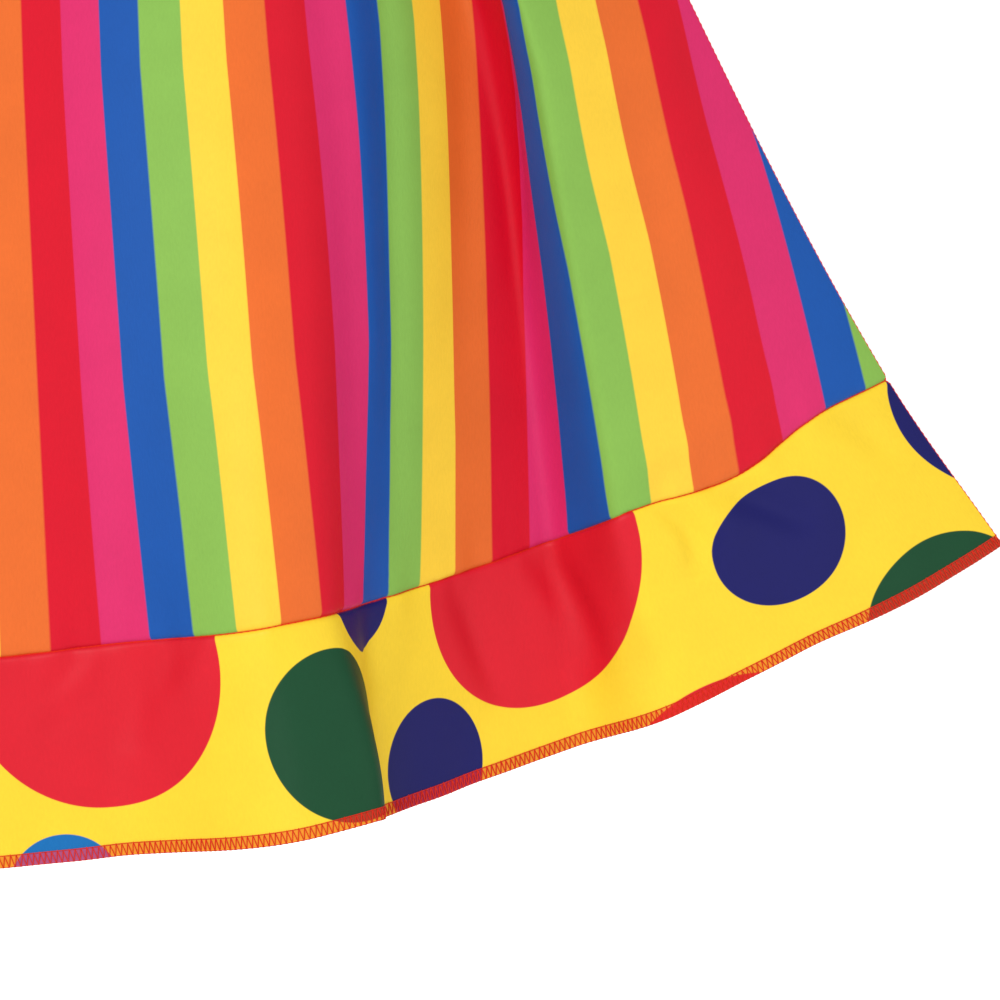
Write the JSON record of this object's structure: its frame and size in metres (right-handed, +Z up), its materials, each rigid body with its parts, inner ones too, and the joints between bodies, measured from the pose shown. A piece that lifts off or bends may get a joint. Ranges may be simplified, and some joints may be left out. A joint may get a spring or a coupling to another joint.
{
  "type": "clown costume dress",
  "caption": "Sleeveless A-line clown dress of striped cloth with a deep spotted hem band, worn shape with a flared, fluted skirt, open at neck, armholes and hem.",
  "frame": {"origin": "midway between the two shoulder seams where they meet the neckline, the height at which the wearer's shoulders hold the dress", "axes": "+Z up, towards the shoulders; the wearer faces -Y; +X is the wearer's left"},
  "size_m": [0.948, 0.3621, 0.881],
  "materials": {
    "striped_cloth": "soft satin polyester, printed with 2 cm stripes of orange, red, pink, blue, green and yellow that run down the dress",
    "spotted_cloth": "soft satin polyester, yellow, with large round spots of red, green, navy and light blue, its hem overlocked in red thread"
  },
  "bodies": {
    "root": {"front_panel": "striped_cloth", "back_panel": "striped_cloth", "front_hem_band": "spotted_cloth", "back_hem_band": "spotted_cloth"}
  },
  "joints": []
}
